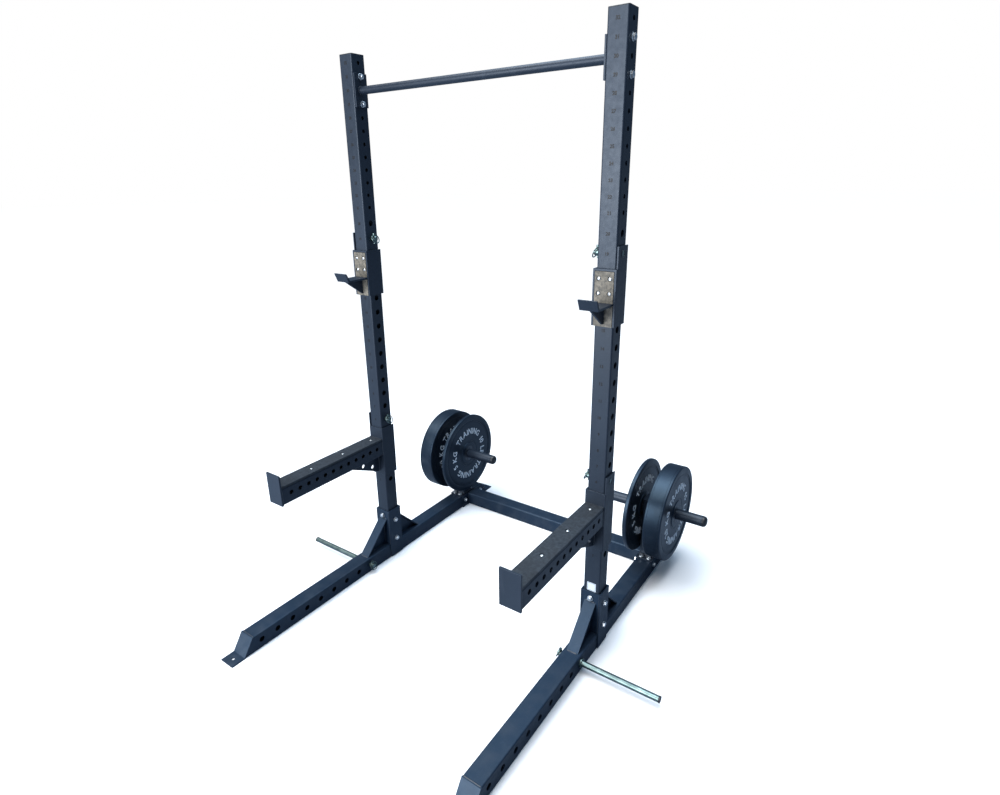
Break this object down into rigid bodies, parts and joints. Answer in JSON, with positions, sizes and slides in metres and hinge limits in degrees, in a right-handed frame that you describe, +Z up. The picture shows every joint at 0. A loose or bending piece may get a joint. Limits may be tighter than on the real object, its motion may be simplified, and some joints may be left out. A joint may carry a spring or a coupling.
{
  "type": "squat stand with spotter arms",
  "caption": "Two-upright squat stand on long base rails, with a pull-up bar, swinging J-hooks and spotter arms, band pegs and plate storage horns.",
  "frame": {"origin": "on the floor, at the centre of the footprint", "axes": "+Z up; -Y is the front, where the spotter arms point; +X is the right-hand side as seen from the front"},
  "size_m": [1.873, 1.808, 2.303],
  "materials": {
    "frame_paint": "satin black powder coat with a fine orange peel",
    "base_paint": "satin black powder coat, a little worn on top",
    "black_plastic": "moulded plastic",
    "black_liner": "sawn polyethylene, slightly scuffed",
    "beige_liner": "mottled polyethylene",
    "zinc_fasteners": "bright zinc",
    "zinc_pins": "clear zinc plating",
    "hub_steel": "dull machined steel",
    "plate_rubber": "moulded rubber"
  },
  "bodies": {
    "frame": {"left_rail": "base_paint", "right_rail": "base_paint", "foot_plates": "base_paint", "left_upright": "frame_paint", "right_upright": "frame_paint", "upright_caps": "black_plastic", "base_brackets": "base_paint", "base_straps": "base_paint", "base_webs": "base_paint", "base_bolts": "zinc_fasteners", "cross_member": "base_paint", "cross_bolts": "zinc_fasteners", "storage_posts": "frame_paint", "post_bolts": "zinc_fasteners", "storage_horns": "frame_paint", "horn_collars": "frame_paint", "horn_caps": "black_plastic", "pull_up_bar": "frame_paint", "bar_flanges": "frame_paint", "bar_bolts": "zinc_fasteners"},
    "left_j_hook": {"left_hook_sleeve": "frame_paint", "left_hook_liner": "beige_liner", "left_hook_cradle": "frame_paint", "left_hook_pin": "zinc_pins", "left_hook_screws": "zinc_fasteners"},
    "left_hook_lynch": {"left_hook_lynch_pin": "zinc_pins"},
    "left_spotter_arm": {"left_arm_sleeve": "frame_paint", "left_arm_tube": "frame_paint", "left_arm_plates": "frame_paint", "left_arm_liner": "black_liner", "left_arm_pin": "zinc_pins", "left_arm_screws": "zinc_fasteners"},
    "left_arm_lynch": {"left_arm_lynch_pin": "zinc_pins"},
    "left_band_peg": {"left_band_peg": "zinc_pins", "left_peg_cap": "black_plastic"},
    "left_peg_lynch": {"left_peg_lynch_pin": "zinc_pins"},
    "left_thin_plate": {"left_thin_plate": "plate_rubber", "left_thin_hub": "hub_steel"},
    "left_thick_plate": {"left_thick_plate": "plate_rubber", "left_thick_hub": "hub_steel"},
    "right_j_hook": {"right_hook_sleeve": "frame_paint", "right_hook_liner": "beige_liner", "right_hook_cradle": "frame_paint", "right_hook_pin": "zinc_pins", "right_hook_screws": "zinc_fasteners"},
    "right_hook_lynch": {"right_hook_lynch_pin": "zinc_pins"},
    "right_spotter_arm": {"right_arm_sleeve": "frame_paint", "right_arm_tube": "frame_paint", "right_arm_plates": "frame_paint", "right_arm_liner": "black_liner", "right_arm_pin": "zinc_pins", "right_arm_screws": "zinc_fasteners"},
    "right_arm_lynch": {"right_arm_lynch_pin": "zinc_pins"},
    "right_band_peg": {"right_band_peg": "zinc_pins", "right_peg_cap": "black_plastic"},
    "right_peg_lynch": {"right_peg_lynch_pin": "zinc_pins"},
    "right_thin_plate": {"right_thin_plate": "plate_rubber", "right_thin_hub": "hub_steel"},
    "right_thick_plate": {"right_thick_plate": "plate_rubber", "right_thick_hub": "hub_steel"}
  },
  "joints": [
    {"name": "left_hook_swing", "type": "hinge", "parent": "frame", "child": "left_j_hook", "pos_m": [-0.5775, 0.05, 1.592], "axis": [-1, 0, 0], "range_deg": [0, 90]},
    {"name": "left_hook_lynch_pull", "type": "slide", "parent": "left_j_hook", "child": "left_hook_lynch", "axis": [0, 0, 1], "range_m": [0, 0.045]},
    {"name": "left_arm_swing", "type": "hinge", "parent": "frame", "child": "left_spotter_arm", "pos_m": [-0.5775, 0.05, 0.7535], "axis": [-1, 0, 0], "range_deg": [0, 75]},
    {"name": "left_arm_lynch_pull", "type": "slide", "parent": "left_spotter_arm", "child": "left_arm_lynch", "axis": [0, 0, 1], "range_m": [0, 0.045]},
    {"name": "left_peg_spin", "type": "hinge", "parent": "frame", "child": "left_band_peg", "pos_m": [-0.5775, -0.134, 0.0385], "axis": [1, 0, 0], "continuous": true},
    {"name": "left_peg_lynch_pull", "type": "slide", "parent": "left_band_peg", "child": "left_peg_lynch", "axis": [0, 0, 1], "range_m": [0, 0.045]},
    {"name": "left_thin_plate_pull", "type": "slide", "parent": "frame", "child": "left_thin_plate", "axis": [1, 0, 0], "range_m": [0, 0.205]},
    {"name": "left_thick_plate_pull", "type": "slide", "parent": "frame", "child": "left_thick_plate", "axis": [-1, 0, 0], "range_m": [0, 0.225]},
    {"name": "right_hook_swing", "type": "hinge", "parent": "frame", "child": "right_j_hook", "pos_m": [0.5775, 0.05, 1.592], "axis": [-1, 0, 0], "range_deg": [0, 90]},
    {"name": "right_hook_lynch_pull", "type": "slide", "parent": "right_j_hook", "child": "right_hook_lynch", "axis": [0, 0, 1], "range_m": [0, 0.045]},
    {"name": "right_arm_swing", "type": "hinge", "parent": "frame", "child": "right_spotter_arm", "pos_m": [0.5775, 0.05, 0.7535], "axis": [-1, 0, 0], "range_deg": [0, 75]},
    {"name": "right_arm_lynch_pull", "type": "slide", "parent": "right_spotter_arm", "child": "right_arm_lynch", "axis": [0, 0, 1], "range_m": [0, 0.045]},
    {"name": "right_peg_spin", "type": "hinge", "parent": "frame", "child": "right_band_peg", "pos_m": [0.5775, -0.134, 0.0385], "axis": [1, 0, 0], "continuous": true},
    {"name": "right_peg_lynch_pull", "type": "slide", "parent": "right_band_peg", "child": "right_peg_lynch", "axis": [0, 0, 1], "range_m": [0, 0.045]},
    {"name": "right_thin_plate_pull", "type": "slide", "parent": "frame", "child": "right_thin_plate", "axis": [-1, 0, 0], "range_m": [0, 0.205]},
    {"name": "right_thick_plate_pull", "type": "slide", "parent": "frame", "child": "right_thick_plate", "axis": [1, 0, 0], "range_m": [0, 0.225]}
  ]
}
